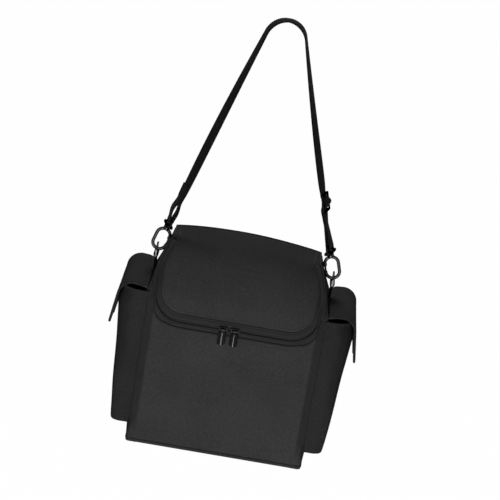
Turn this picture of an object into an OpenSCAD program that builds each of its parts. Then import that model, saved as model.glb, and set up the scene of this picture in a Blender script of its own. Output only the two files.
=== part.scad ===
/* [Body] */
// Width across the side panels
body_w = 244; // [220:1:270]
// Depth from the front panel to the back panel
body_d = 150; // [135:1:180]
// Height from the base to the top panel
body_h = 268; // [255:1:300]
// How far each shoulder leans in at the top
shoulder_in = 20; // [16:1:22]
// Height of the leaning shoulders
shoulder_h = 54; // [50:1:60]
// Radius of the upright corners
corner_r = 18; // [12:1:20]
// Radius of the bend from the front to the top
front_top_r = 58; // [45:1:60]
// Radius of the bend from the top to the back
back_top_r = 16; // [10:1:18]
// Thickness of the padded fabric
wall = 4; // [3:0.5:5]
// Thickness of the stiffening board in the base
board_t = 2.5; // [2:0.5:4]

/* [Lid and zip] */
// Distance from the bag's side to the lid's edge
lid_margin = 16.5; // [16:0.5:19]
// Distance from the bag's side to the lid's edge at the top
lid_top_margin = 8.5; // [8:0.5:12]
// How far the lid's front edge lies below the top
lid_drop = 79; // [76:1:86]
// Radius of the lid's front corners
lid_corner_r = 33; // [26:1:34]
// How far below the top the lid's sides start to lean in
lid_lean = 42; // [40:1:43]
// Place of the lid's fold, measured back from the middle
fold_y = -3; // [-8:1:-2]
// Distance from the lid's front edge down to the middle of the zip
zip_offset = 9.5; // [8:0.5:11]
// Gap between the two rows of coil
zip_gap = 1.4; // [1.2:0.1:1.8]
// Width of one row of coil
coil_w = 2.4; // [2:0.1:2.8]
// Height of the coil above its tape
coil_t = 1.8; // [1.4:0.1:2]
// Thickness of the zip tape
tape_t = 1.2; // [0.8:0.1:1.4]
// Width of the piping on both sides of the zip
piping_w = 3; // [2:0.5:3.5]
// Height of the piping above the fabric
piping_t = 1.2; // [0.8:0.1:1.6]
// Length of a slider
slider_l = 12; // [10:1:14]
// Width of a slider
slider_w = 9; // [8:0.5:10]
// Distance between the middles of the two sliders when closed
slider_pitch = 16; // [14:1:24]
// Place where the two sliders meet, measured from the middle
slider_at = -6; // [-30:1:30]
// Length of a pull below its pin
pull_l = 21; // [16:1:26]
// Width of a pull
pull_w = 11; // [8:0.5:12]
// Thickness of a pull
pull_t = 2; // [1.6:0.2:2.6]
// Radius of a pull's corners
pull_r = 2.5; // [1:0.5:3.5]
// Radius of a pull's crowned front
pull_crown_r = 11; // [10:1:20]

/* [Side pockets] */
// Height of a pocket's bottom above the base
pocket_z = 18; // [10:1:30]
// How far a pocket's mouth lies below the shoulder
pocket_drop = 4; // [3:0.5:20]
// How far a pocket's bottom stands out from the side panel
pocket_out = 24.5; // [18:0.5:28]
// How far a pocket's mouth stands out from the side panel
pocket_mouth_out = 32.5; // [28:0.5:33]
// Distance of a pocket from the front and from the back of the bag
pocket_margin = 13; // [11:1:25]
// Radius of a pocket's corners
pocket_r = 14; // [8:1:16]
// Thickness of the pocket fabric
pocket_wall = 2.5; // [2:0.5:3]
// Height of the hem at the mouth
hem_h = 10; // [6:1:14]
// Thickness of the hem
hem_t = 1; // [0.6:0.2:1.2]
// Thickness of a flap
flap_t = 3; // [2:0.2:3.2]
// Height of the flap's hinge seam above the start of the shoulder
flap_seam = 3; // [2:0.5:4]
// How far the flap rises over the mouth
flap_rise = 3.5; // [3:0.5:6]
// How far the flap stands out before it turns down
flap_out = 18.8; // [18:0.2:21]
// Radius of the flap's bend
flap_bend_r = 18.8; // [18:0.2:20]
// How far the flap's tip lies below its hinge seam
flap_drop = 61; // [47:1:77]
// How far the flap's tip stands out from the side panel
flap_tip_out = 44.4; // [42:0.2:48]
// How far the flap reaches past the pocket at each end
flap_over = 3; // [1:0.5:5]
// Height of the grip patches
patch_h = 22; // [14:1:24]
// Length of the grip patches, front to back
patch_l = 60; // [30:1:80]
// Thickness of the grip patches
patch_t = 1.2; // [0.8:0.2:1.4]

/* [Strap and hooks] */
// Width of the webbing
strap_w = 20; // [18:0.5:20]
// Thickness of the webbing
strap_t = 1.6; // [1.4:0.1:1.7]
// Place of the strap, measured back from the middle
strap_y = 15; // [13:1:20]
// Lean of each leg from upright
leg_angle = 16.7; // [15.5:0.1:18]
// Radius of the strap's bend at the top
strap_bend_r = 27.5; // [18:0.5:32]
// Turn of the left eye and its webbing on the hook
left_eye_turn = 14; // [0:1:40]
// Turn of the right eye, its webbing and the adjuster on the hook
right_eye_turn = 17; // [0:1:40]
// Further turn of the left leg at its middle
left_twist = 34; // [0:1:45]
// Further turn of the right leg above the adjuster
right_twist = 8; // [0:1:45]
// Distance of each ring in from the bag's side
ring_inset = 0.8; // [0:0.1:1]
// How far the hooks hang below the top
ring_drop = 18; // [16:0.5:19]
// Length of the sewn part of the tab below the ring
tab_sewn = 16; // [10:1:16]
// Inside width of the ring
ring_in = 20.6; // [20.4:0.1:22]
// Width of the ring's flat section
ring_band = 3.2; // [2.4:0.2:4]
// Thickness of the ring's flat section
ring_t = 2.2; // [1.8:0.1:2.6]
// Diameter of the ring's straight bar
ring_bar_d = 3.2; // [2.6:0.1:3.4]
// Width of the tab that holds the ring
tab_w = 18; // [14:0.5:19]
// Diameter of the hook's wire
wire_d = 3.6; // [3:0.1:3.8]
// Width of the hook, from wire middle to wire middle
hook_w = 18.4; // [17:0.2:19]
// Length of the hook's straight sides
hook_side = 11.6; // [10:0.2:14]
// Diameter of the gate
gate_d = 2.8; // [2.2:0.1:3]
// Diameter of the gate's pin
gate_pin_d = 1.6; // [1.2:0.1:1.8]
// Diameter of the swivel post
post_d = 4; // [3.4:0.1:4.4]
// Diameter of the eye's strap bar
eye_bar_d = 3; // [2.4:0.1:3.2]
// Distance of the adjuster's middle along the right leg
adjuster_at = 105; // [100:1:150]
// Length of the adjuster along the leg
adjuster_l = 26; // [25:1:30]
// Thickness of the adjuster
adjuster_t = 2.2; // [1.8:0.1:2.4]

/* [Fits] */
// Gap between pieces that move past each other
clearance = 0.3; // [0.2:0.05:0.4]
// Gap round a turning pin
pin_gap = 0.06; // [0.03:0.01:0.1]
// Play of a ring on its hook
ring_play = 1.2; // [1:0.1:1.4]

/* [Hidden] */
$fn = 128;

far = 400;
cut = 1;
half_w = body_w / 2;
half_d = body_d / 2;
half_top = half_w - shoulder_in;
shoulder_z = body_h - shoulder_h;
panel_seam_y = half_d - max(corner_r, back_top_r);
lean = atan(shoulder_in / shoulder_h);

// The zip band runs from the lid's edge to the inside of the side panels, is wider in front,
// and at the top leaves only the rim of the side panels.
lid_half = half_w - lid_margin;
lid_half_top = half_top - lid_top_margin;
lid_lean_z = body_h - lid_lean;
lid_edge_z = body_h - lid_drop;
zip_edge_play = 0.5;
zip_rim = 1.6;
lean_play = 3;
band = lid_margin - wall - zip_edge_play - lean_play;
band_top = lid_top_margin - zip_rim;
zip_at = 0.5;
band_low = zip_offset / zip_at;
tape_in = wall - tape_t - 2 * clearance;
zip_z = lid_edge_z - zip_offset;

// Each slider has an outer plate in front of the coil and an inner plate behind the upper tape.
slider_t = 2;
slider_neck = zip_gap / 2;
slider_front_y = -half_d - slider_t;
lug_t = 1.2;
pull_pin_d = 1.6;
pull_eye_d = 3.4;
pull_pin_y = slider_front_y - pull_eye_d / 2 - clearance;
pull_pin_z = zip_z + 1.5;
pull_eye_w = 5;
stop_l = slider_l / 2;

// The pocket's mouth lies below the shoulder and the flap's seam above it.
pocket_top_z = shoulder_z - pocket_drop;
pocket_d = body_d - 2 * pocket_margin;
flap_z = shoulder_z + flap_seam;
flap_tip_z = flap_z - flap_drop;

// The flap turns on a bead beside the leaning shoulder of the side panel.
flap_axis_x = half_w + (flap_t / 2 + clearance - (flap_z - shoulder_z) * sin(lean)) / cos(lean);
flap_d = pocket_d + 2 * (hem_t + flap_over);
flap_bend = [half_w + flap_out, flap_z + flap_rise - flap_bend_r];
flap_tip = [half_w + flap_tip_out, flap_tip_z];
flap_turn_end = 8;

// Places along a leg are measured from the point where the hook hangs in its ring.
hook_r = hook_w / 2;
hook_low = hook_r - wire_d / 2;
hook_high = hook_low + hook_side;
hook_top = hook_high + hook_r + wire_d / 2;
collar_d = 8.4;
collar_h = 4.2;
collar_top = hook_top - 1 + collar_h;
eye_base_h = 3.5;
post_head_h = 1.5;
post_head_d = post_d + 2;
eye_room = strap_t + 4 * clearance;
eye_base_z = collar_top + clearance;
post_head_z = eye_base_z + eye_base_h + clearance;
eye_bar_z = post_head_z + post_head_h + eye_room + eye_bar_d / 2;
eye_in = strap_w + 1;
eye_side = 2.6;
gate_top = hook_high - 0.6;
gate_low = hook_low + 1.6;
gate_eye_d = gate_d + 2;
gate_eye_t = 1.8;
gate_ear_t = 1;

// The ring's bar lies under the wire, with the tab's fold between.
ring_x = half_w - ring_inset;
ring_z = body_h - ring_drop;
ring_bar_z = ring_z - wire_d - 1 - strap_t - clearance - ring_bar_d / 2;
ring_arch = 4.5;
tab_fold_r = ring_bar_d / 2 + clearance + strap_t;
tab_root_z = ring_bar_z - tab_fold_r - tab_sewn;
tab_lean = 1;

// The webbing's line: a sewn loop on the left eye, two legs, and a return through the adjuster.
apex_z = ring_z + ring_x / tan(leg_angle);
leg_l = ring_x / sin(leg_angle) - strap_bend_r / tan(leg_angle);
bend_z = apex_z - strap_bend_r / sin(leg_angle);
loop_r = eye_bar_d / 2 + clearance + strap_t / 2;
ply = strap_t + clearance;
loop_l = 28;
loop_end = eye_bar_z + loop_l;
sewn_l = 22;
sewn_end = loop_end + sewn_l;
adjuster_bar = 3;
adjuster_slot = adjuster_l / 2 - adjuster_bar;
centre_bar_r = 1.1;
adjuster_x = strap_t / 2 + clearance + 0.1 + adjuster_t / 2;
sleeve_r = centre_bar_r + 0.2 + strap_t / 2;
rise = adjuster_x + sleeve_r + strap_t + 2 * clearance;
free_steps = 16;

// Shapes that repeat

// A rectangle with its lower corner and its size.
module box2(low, high) {
  translate(low) square(high - low);
}

module round_rect(w, d, r) {
  square([w - 2 * r, d], center = true);
  square([w, d - 2 * r], center = true);
  for (x = [-1, 1], y = [-1, 1])
    translate([x * (w / 2 - r), y * (d / 2 - r)]) circle(r);
}

// Turns an outline in depth and height into a bar along the width.
module along_x(length) {
  rotate([90, 0, 90]) linear_extrude(length, center = true) children();
}

// Turns an outline in width and height into a bar along the depth.
module along_y(length) {
  rotate([90, 0, 0]) linear_extrude(length, center = true) children();
}

// The part of space between two depths.
module slab_y(low, high) {
  translate([-far, low, -far]) cube([2 * far, high - low, 4 * far]);
}

module slab_z(low, high) {
  translate([-far, -far, low]) cube([2 * far, 2 * far, high - low]);
}

// The body's outline from the side, drawn in by an inset.
module side_outline(inset) {
  box2([-half_d + inset, inset], [half_d - inset, body_h - front_top_r]);
  box2([0, inset], [half_d - inset, body_h - back_top_r]);
  box2([-half_d + front_top_r, inset], [half_d - back_top_r, body_h - inset]);
  translate([-half_d + front_top_r, body_h - front_top_r]) circle(front_top_r - inset);
  translate([half_d - back_top_r, body_h - back_top_r]) circle(back_top_r - inset);
}

// The body's outline from the front, with its leaning shoulders.
module front_outline(inset) {
  side = half_w - inset;
  knee = shoulder_z - inset * tan(lean / 2);
  top = half_top - inset / cos(lean) + inset * tan(lean);
  polygon([
    [-side, inset], [side, inset], [side, knee],
    [top, body_h - inset], [-top, body_h - inset], [-side, knee]
  ]);
}

// The body as one solid, drawn in by an inset.
module form(inset) {
  intersection() {
    linear_extrude(body_h + far) round_rect(body_w - 2 * inset, body_d - 2 * inset, corner_r - inset);
    along_x(2 * far) side_outline(inset);
    along_y(2 * far) front_outline(inset);
  }
}

module layer(outer, inner) {
  difference() {
    form(outer);
    form(inner);
  }
}

// The lid's outline from the front, moved out by a share of the zip band and by a distance.
module lid_outline(share, out) {
  side = lid_half + share * band + out;
  low = lid_edge_z - share * band_low - out;
  r = lid_corner_r + share * band + out;
  top = lid_half_top + share * band_top + out;
  box2([-side + r, low], [side - r, lid_lean_z]);
  box2([-side, low + r], [side, lid_lean_z]);
  for (s = [-1, 1])
    translate([s * (side - r), low + r]) circle(r);
  reach = body_h + 2 * piping_t;
  lean_in = (side - top) * (reach - lid_lean_z) / (body_h - lid_lean_z);
  polygon([
    [-side, lid_lean_z], [side, lid_lean_z],
    [side - lean_in, reach], [-side + lean_in, reach]
  ]);
}

// The space under the lid's outline, from the front to the fold.
module lid_space(share, out) {
  end = fold_y - clearance;
  translate([0, end - far / 2, 0]) along_y(far) lid_outline(share, out);
}

// A band round the lid between two depths in the wall, from a low line to a high line.
module lid_band(outer, inner, low, high) {
  difference() {
    intersection() {
      layer(outer, inner);
      lid_space(low[0], low[1]);
    }
    lid_space(high[0], high[1]);
  }
}

// A strip of even thickness along a line of points.
function side_of(a, b) = let (d = b - a) [-d[1], d[0]] / norm(d);
function normal_at(p, i) =
  i == 0 ? side_of(p[0], p[1]) :
  i == len(p) - 1 ? side_of(p[i - 1], p[i]) :
  let (n = side_of(p[i - 1], p[i]) + side_of(p[i], p[i + 1])) n / norm(n);
function strip(p, t) = concat(
  [for (i = [0:len(p) - 1]) p[i] + normal_at(p, i) * t / 2],
  [for (i = [len(p) - 1:-1:0]) p[i] - normal_at(p, i) * t / 2]
);
function arc(c, r, from, to, steps) =
  [for (i = [0:steps]) let (a = from + (to - from) * i / steps) c + r * [cos(a), sin(a)]];
function mix(a, b, k) = a + (b - a) * k;
function ease(k) = (1 - cos(180 * k)) / 2;

// Makes the left one of a pair from the right one.
module on_left() {
  mirror([1, 0, 0]) children();
}

// Moves a slider and what hangs on it to where the two sliders meet.
module on_zip() {
  translate([slider_at, 0, 0]) children();
}

// Panels of the body

module front_panel() {
  color([0.2, 0.2, 0.2])
    difference() {
      intersection() {
        layer(0, wall);
        slab_y(-half_d - cut, -panel_seam_y);
        slab_z(wall, body_h + cut);
      }
      lid_space(1, 0);
    }
}

module back_panel() {
  color([0.16, 0.16, 0.16])
    intersection() {
      layer(0, wall);
      slab_y(panel_seam_y, half_d + cut);
      slab_z(wall, body_h + cut);
    }
}

module side_panel() {
  color([0.14, 0.14, 0.14])
    difference() {
      intersection() {
        layer(0, wall);
        slab_y(-panel_seam_y, panel_seam_y);
        slab_z(wall, body_h + cut);
        translate([0, -far, 0]) cube([far, 2 * far, 2 * far]);
      }
      lid_space(1, 0);
      intersection() {
        slab_y(fold_y, far);
        slab_z(body_h - wall, far);
      }
      intersection() {
        slab_y(fold_y - clearance - cut, fold_y + cut);
        translate([0, fold_y, 0]) along_y(4 * cut) lid_outline(1, 0);
      }
    }
}

module base_panel() {
  color([0.12, 0.12, 0.12])
    linear_extrude(wall) round_rect(body_w, body_d, corner_r);
}

module base_board() {
  inset = wall + clearance;
  color([0.25, 0.23, 0.2])
    translate([0, 0, wall])
      linear_extrude(board_t) round_rect(body_w - 2 * inset, body_d - 2 * inset, corner_r - inset);
}

module top_panel() {
  color([0.17, 0.17, 0.17])
    intersection() {
      layer(0, wall);
      slab_y(fold_y, panel_seam_y);
      slab_z(body_h - wall, body_h + cut);
    }
}

// Lid and zip

module lid_panel() {
  color([0.17, 0.17, 0.17])
    intersection() {
      layer(0, wall);
      lid_space(0, 0);
    }
}

module lid_piping() {
  color([0.08, 0.08, 0.08]) lid_band(-piping_t, 0, [0, 0], [0, -piping_w]);
}

module opening_piping() {
  color([0.08, 0.08, 0.08]) lid_band(-piping_t, 0, [1, piping_w], [1, 0]);
}

// The lid's half of the zip ends in front of the stops.
module before_stops() {
  intersection() {
    children();
    slab_y(-far, fold_y - stop_l - clearance);
  }
}

module lid_zip_tape() {
  color([0.05, 0.05, 0.05])
    before_stops() lid_band(tape_in, tape_in + tape_t, [zip_at, -zip_gap / 2], [0, 0]);
}

module bag_zip_tape() {
  color([0.05, 0.05, 0.05]) lid_band(tape_in, tape_in + tape_t, [1, 0], [zip_at, zip_gap / 2]);
}

module lid_zip_coil() {
  edge = -zip_gap / 2;
  color([0.06, 0.06, 0.06])
    before_stops() lid_band(tape_in - coil_t, tape_in, [zip_at, edge], [zip_at, edge - coil_w]);
}

module bag_zip_coil() {
  edge = zip_gap / 2;
  color([0.06, 0.06, 0.06])
    lid_band(tape_in - coil_t, tape_in, [zip_at, edge + coil_w], [zip_at, edge]);
}

module zip_stops() {
  half = slider_neck / 2;
  color([0.3, 0.3, 0.32])
    intersection() {
      lid_band(tape_in - coil_t, tape_in + tape_t, [zip_at, half], [zip_at, -half]);
      slab_y(fold_y - stop_l, fold_y);
    }
}

// The right slider: plates, the neck between the coils, and two lugs for the pull's pin.
module slider() {
  lug_x = pull_eye_w / 2 + clearance / 2 + lug_t / 2;
  plate_gap = coil_t + tape_t + 2 * clearance;
  coil_y = -half_d + tape_in - coil_t - clearance;
  color([0.2, 0.2, 0.22])
    translate([slider_pitch / 2, 0, 0]) {
      difference() {
        translate([0, coil_y, zip_z]) rotate([90, 0, 0])
          linear_extrude(coil_y - slider_front_y) round_rect(slider_l, slider_w, 2);
        translate([0, pull_pin_y, pull_pin_z]) rotate([0, 90, 0])
          cylinder(d = pull_eye_d + 2 * clearance, h = pull_eye_w + clearance, center = true);
      }
      translate([-slider_l / 2, coil_y - cut / 4, zip_z - slider_neck / 2])
        cube([slider_l / 3, plate_gap + cut / 2, slider_neck]);
      translate([-slider_l / 2, coil_y + plate_gap, zip_z - slider_neck / 2])
        cube([slider_l, 1, slider_w / 2 + slider_neck / 2]);
      for (s = [-1, 1])
        translate([s * lug_x, 0, 0]) difference() {
          union() {
            translate([0, pull_pin_y, pull_pin_z]) rotate([0, 90, 0])
              cylinder(d = pull_eye_d, h = lug_t, center = true);
            translate([-lug_t / 2, pull_pin_y, pull_pin_z - pull_eye_d / 2])
              cube([lug_t, slider_front_y - pull_pin_y + cut / 4, pull_eye_d]);
          }
          translate([0, pull_pin_y, pull_pin_z]) rotate([0, 90, 0])
            cylinder(d = pull_pin_d, h = 2 * lug_t, center = true);
        }
    }
}

module pull_pin() {
  color([0.3, 0.3, 0.32])
    translate([slider_pitch / 2, pull_pin_y, pull_pin_z]) rotate([0, 90, 0])
      cylinder(d = pull_pin_d, h = pull_eye_w + clearance + 2 * lug_t, center = true);
}

// The pull hangs from its pin and has a crowned front and rounded corners.
module pull() {
  low = pull_pin_z - pull_l;
  high = pull_pin_z - pull_eye_d;
  color([0.2, 0.2, 0.22])
    translate([slider_pitch / 2, pull_pin_y, 0]) difference() {
      union() {
        translate([0, 0, pull_pin_z]) rotate([0, 90, 0])
          cylinder(d = pull_eye_d, h = pull_eye_w, center = true);
        along_y(pull_t) box2([-pull_eye_w / 2, high - cut], [pull_eye_w / 2, pull_pin_z]);
        intersection() {
          along_y(pull_t) translate([0, (low + high) / 2]) round_rect(pull_w, high - low, pull_r);
          translate([0, pull_crown_r - pull_t / 2, low - cut]) cylinder(r = pull_crown_r, h = pull_l);
        }
      }
      translate([0, 0, pull_pin_z]) rotate([0, 90, 0])
        cylinder(d = pull_pin_d + 2 * pin_gap, h = 2 * pull_w, center = true);
    }
}

// Side pockets

// The pocket leans outward from its bottom to its mouth.
pocket_lean = atan((pocket_mouth_out - pocket_out) / (pocket_top_z - pocket_z));
function pocket_x(z) = half_w + pocket_out + (z - pocket_z) * tan(pocket_lean);

// The pocket as one leaning solid, drawn in by an inset, between two heights.
module pocket_form(inset, low, high) {
  deep = body_w;
  intersection() {
    translate([half_w + pocket_out, 0, pocket_z]) rotate([0, pocket_lean, 0])
      translate([-deep / 2, 0, -far]) linear_extrude(2 * far)
        round_rect(deep - 2 * inset, pocket_d - 2 * inset, pocket_r - inset);
    slab_z(low, high);
  }
}

// The upright part of the body, which the pockets are sewn to.
module body_block() {
  linear_extrude(body_h) round_rect(body_w, body_d, corner_r);
  translate([-body_w - far, -far, -far]) cube([body_w + far, 2 * far, 3 * far]);
}

module pocket() {
  color([0.13, 0.13, 0.13])
    difference() {
      pocket_form(0, pocket_z, pocket_top_z);
      pocket_form(pocket_wall, pocket_z + pocket_wall, pocket_top_z + cut);
      body_block();
    }
}

module pocket_hem() {
  color([0.1, 0.1, 0.1])
    difference() {
      pocket_form(-hem_t, pocket_top_z - hem_h, pocket_top_z);
      pocket_form(0, pocket_top_z - hem_h - cut, pocket_top_z + cut);
      body_block();
    }
}

function flap_line() = concat(
  [[flap_axis_x, flap_z], [mix(flap_axis_x, flap_bend[0], 0.5), flap_z + flap_rise * 0.8]],
  arc(flap_bend, flap_bend_r, 90, flap_turn_end, 10),
  [flap_tip]
);

module flap() {
  color([0.14, 0.14, 0.14]) {
    along_y(flap_d) polygon(strip(flap_line(), flap_t));
    translate([flap_axis_x, 0, flap_z]) rotate([90, 0, 0])
      cylinder(d = flap_t, h = flap_d, center = true);
  }
}

// A patch lies on a straight line between two points, on one side of it.
module patch(a, b) {
  along_y(patch_l) polygon(strip([a, b], patch_t));
}

module hook_patch() {
  top = arc(flap_bend, flap_bend_r, flap_turn_end, flap_turn_end, 1)[0];
  inward = -side_of(flap_tip, top) * (flap_t + patch_t) / 2;
  long = norm(top - flap_tip);
  margin = 6;
  low = mix(flap_tip, top, margin / long) - inward;
  high = mix(flap_tip, top, (margin + patch_h) / long) - inward;
  color([0.07, 0.07, 0.07]) patch(low, high);
}

module loop_patch() {
  low = flap_tip_z + 6;
  foot = [pocket_x(low), low];
  head = [pocket_x(low + patch_h), low + patch_h];
  outward = side_of(head, foot) * patch_t / 2;
  color([0.07, 0.07, 0.07]) patch(foot + outward, head + outward);
}

// Rings and hooks

module tab() {
  line = [[ring_x - tab_lean, tab_root_z], [ring_x, ring_bar_z - tab_fold_r + strap_t / 2]];
  color([0.1, 0.1, 0.1])
    translate([0, strap_y, 0]) difference() {
      union() {
        along_y(tab_w) polygon(strip(line, 2 * strap_t));
        translate([ring_x, 0, ring_bar_z]) rotate([90, 0, 0])
          cylinder(r = tab_fold_r, h = tab_w, center = true);
      }
      translate([ring_x, 0, ring_bar_z]) rotate([90, 0, 0])
        cylinder(d = ring_bar_d + 2 * clearance, h = 2 * tab_w, center = true);
      translate([0, -strap_y, 0]) form(0);
    }
}

// The ring is a flat arch on a round bar.
module ring() {
  arch_in = ring_z + ring_play;
  outer = ring_in + 2 * ring_band;
  low = ring_bar_z - ring_bar_d / 2;
  high = arch_in + ring_arch;
  r = 8;
  color([0.25, 0.25, 0.26])
    translate([ring_x, strap_y, 0]) {
      along_x(ring_t) difference() {
        union() {
          box2([-outer / 2, low], [outer / 2, high - r]);
          box2([-outer / 2 + r, low], [outer / 2 - r, high]);
          for (s = [-1, 1])
            translate([s * (outer / 2 - r), high - r]) circle(r);
        }
        box2([-ring_in / 2, low - cut], [ring_in / 2, arch_in]);
      }
      translate([0, 0, ring_bar_z]) rotate([90, 0, 0])
        cylinder(d = ring_bar_d, h = outer, center = true);
    }
}

// Moves what is built along an upright leg to the right leg's place.
module on_leg(turn = 0) {
  translate([ring_x, strap_y, ring_z]) rotate([0, -leg_angle, 0]) rotate([0, 0, -turn]) children();
}

module half_bend(r, d) {
  rotate([90, 0, 0]) rotate_extrude(angle = 180) translate([r, 0]) circle(d = d);
}

// The hook's wire goes round all sides but the gate's.
module hook() {
  color([0.22, 0.22, 0.23])
    on_leg() difference() {
      union() {
        translate([0, 0, hook_low]) mirror([0, 0, 1]) half_bend(hook_r, wire_d);
        translate([0, 0, hook_high]) half_bend(hook_r, wire_d);
        translate([hook_r, 0, hook_low]) cylinder(d = wire_d, h = hook_side);
        translate([-hook_r, 0, hook_low]) cylinder(d = wire_d, h = gate_low - hook_low - clearance);
        for (s = [-1, 1])
          translate([-hook_r, s * (gate_eye_t / 2 + clearance / 2 + gate_ear_t / 2), gate_top])
            rotate([90, 0, 0]) cylinder(d = gate_eye_d, h = gate_ear_t, center = true);
        cylinder_from(collar_d, hook_top - wire_d / 2, collar_top);
        cylinder_from(post_d, collar_top - cut, post_head_z + post_head_h);
        cylinder_from(post_head_d, post_head_z, post_head_z + post_head_h);
      }
      translate([-hook_r, 0, gate_top]) rotate([90, 0, 0])
        cylinder(d = gate_eye_d + 2 * clearance, h = gate_eye_t + clearance, center = true);
      translate([-hook_r, 0, gate_top]) rotate([90, 0, 0])
        cylinder(d = gate_pin_d, h = 4 * wire_d, center = true);
    }
}

module cylinder_from(d, low, high) {
  translate([0, 0, low]) cylinder(d = d, h = high - low);
}

module gate() {
  color([0.3, 0.3, 0.31])
    on_leg() translate([-hook_r, 0, 0]) difference() {
      union() {
        cylinder_from(gate_d, gate_low, gate_top);
        translate([0, 0, gate_top]) rotate([90, 0, 0])
          cylinder(d = gate_eye_d, h = gate_eye_t, center = true);
      }
      for (s = [-1, 1])
        translate([0, s * (gate_eye_t / 2 + wire_d / 2), gate_top])
          rotate([90, 0, 0]) cylinder(d = gate_eye_d + 2 * clearance, h = wire_d, center = true);
      translate([0, 0, gate_top]) rotate([90, 0, 0])
        cylinder(d = gate_pin_d + 2 * pin_gap, h = 2 * wire_d, center = true);
    }
}

module gate_pin() {
  color([0.3, 0.3, 0.31])
    on_leg() translate([-hook_r, 0, gate_top]) rotate([90, 0, 0])
      cylinder(d = gate_pin_d, h = gate_eye_t + clearance + 2 * gate_ear_t, center = true);
}

// The eye turns on the hook's post and holds the webbing on its bar.
module swivel_eye(turn) {
  outer = eye_in + 2 * eye_side;
  color([0.22, 0.22, 0.23])
    on_leg(turn) {
      difference() {
        translate([-collar_d / 2, -outer / 2, eye_base_z]) cube([collar_d, outer, eye_base_h]);
        cylinder_from(post_d + 2 * pin_gap, eye_base_z - cut, eye_base_z + eye_base_h + cut);
      }
      for (s = [-1, 1])
        translate([0, s * (eye_in + eye_side) / 2, eye_base_z])
          along_y(eye_side) {
            box2([-eye_bar_d / 2, 0], [eye_bar_d / 2, eye_bar_z - eye_base_z]);
            translate([0, eye_bar_z - eye_base_z]) circle(d = eye_bar_d);
          }
      translate([0, 0, eye_bar_z]) rotate([90, 0, 0])
        cylinder(d = eye_bar_d, h = outer, center = true);
    }
}

// The webbing

// A point on the right leg, outward by x and along by z.
function leg_point(x, z) = [
  ring_x + x * cos(leg_angle) - z * sin(leg_angle),
  ring_z + x * sin(leg_angle) + z * cos(leg_angle)
];
function flip(p) = [-p[0], p[1]];

// The left end's sewn ply, its loop round the eye, and the leg up to the bend.
function left_end() = concat(
  [for (z = [sewn_end, loop_end]) leg_point(ply, z)],
  [leg_point(loop_r, eye_bar_z + loop_r)],
  [for (a = [0:-30:-180]) leg_point(loop_r * cos(a), eye_bar_z + loop_r * sin(a))],
  [leg_point(-loop_r, eye_bar_z + loop_r), leg_point(0, loop_end)]
);
function free_leg(low) = [for (i = [1:free_steps]) leg_point(0, mix(low, leg_l, i / free_steps))];
function top_bend() = [
  for (i = [1:9]) let (a = 180 - leg_angle - (180 - 2 * leg_angle) * i / 10)
    [0, bend_z] + strap_bend_r * [cos(a), sin(a)]
];

// The right leg rises over the adjuster's bar, and its end comes back round that bar.
function right_rise(z) = rise * pow(cos(90 * z / adjuster_slot), 2);
function right_end() = concat(
  [for (i = [-8:8]) let (z = -adjuster_slot * i / 8) leg_point(right_rise(z), adjuster_at + z)],
  [leg_point(0, loop_end), leg_point(loop_r, eye_bar_z + loop_r)],
  [for (a = [0:-30:-180]) leg_point(loop_r * cos(a), eye_bar_z + loop_r * sin(a))],
  [leg_point(-loop_r, eye_bar_z + loop_r), leg_point(-ply, loop_end)],
  [for (i = [0:6]) let (k = i / 6)
    leg_point(mix(-ply, adjuster_x - sleeve_r, ease(k)), adjuster_at - adjuster_slot * (1 - 0.9 * k))],
  [for (a = [180:-30:-30])
    leg_point(adjuster_x + sleeve_r * cos(a), adjuster_at + sleeve_r * sin(a))]
);

// The turn of the webbing about its leg, which follows the eyes and is nil at the top.
function left_turn(k) = mix(left_eye_turn, 0, k) + left_twist * sin(180 * k);
function right_turn(k) = mix(right_eye_turn, 0, k) + right_twist * sin(180 * sqrt(k));
right_low = adjuster_at + adjuster_l / 2 + 2;
right_leg = free_leg(right_low);
strap_line = concat(
  [for (p = left_end()) flip(p)],
  [for (p = free_leg(loop_end)) flip(p)],
  top_bend(),
  [for (i = [free_steps - 1:-1:0]) right_leg[i]],
  [leg_point(0, right_low)],
  right_end()
);
strap_turn = concat(
  [for (p = left_end()) left_eye_turn],
  [for (i = [1:free_steps]) left_turn(i / free_steps)],
  [for (p = top_bend()) 0],
  [for (i = [free_steps:-1:1]) right_turn(i / free_steps)],
  [right_eye_turn],
  [for (p = right_end()) right_eye_turn]
);

// Turns a point about the line of the leg on its side.
function about_leg(p, turn) =
  let (
    k = p[0] < 0 ? -1 : 1,
    foot = [k * ring_x, strap_y, ring_z],
    out = [k * cos(leg_angle), 0, sin(leg_angle)],
    up = [-k * sin(leg_angle), 0, cos(leg_angle)],
    x = (p - foot) * out,
    y = p[1] - strap_y,
    z = (p - foot) * up
  )
  foot + (x * cos(turn) + y * sin(turn)) * out + (y * cos(turn) - x * sin(turn)) * [0, 1, 0] + z * up;

// The four corners of the webbing's section at one point of its line.
function section_at(i) =
  let (
    p = strap_line[i],
    n = normal_at(strap_line, i),
    before = i == 0 ? n : side_of(strap_line[i - 1], p),
    mitre = max(0.5, n * before),
    wide = [0, strap_w / 2, 0],
    thick = [n[0], 0, n[1]] * strap_t / 2 / mitre,
    middle = [p[0], strap_y, p[1]],
    corners = [middle - wide - thick, middle + wide - thick, middle + wide + thick, middle - wide + thick]
  )
  [for (q = corners) about_leg(q, strap_turn[i])];

module strap() {
  count = len(strap_line);
  points = [for (i = [0:count - 1]) each section_at(i)];
  walls = [
    for (i = [0:count - 2], k = [0:3])
      let (a = 4 * i + k, b = 4 * i + (k + 1) % 4)
        each [[a, b, b + 4], [a, b + 4, a + 4]]
  ];
  last = 4 * (count - 1);
  ends = [[2, 1, 0], [3, 2, 0], [last, last + 1, last + 2], [last, last + 2, last + 3]];
  color([0.1, 0.1, 0.1]) polyhedron(points, concat(walls, ends));
}

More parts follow.
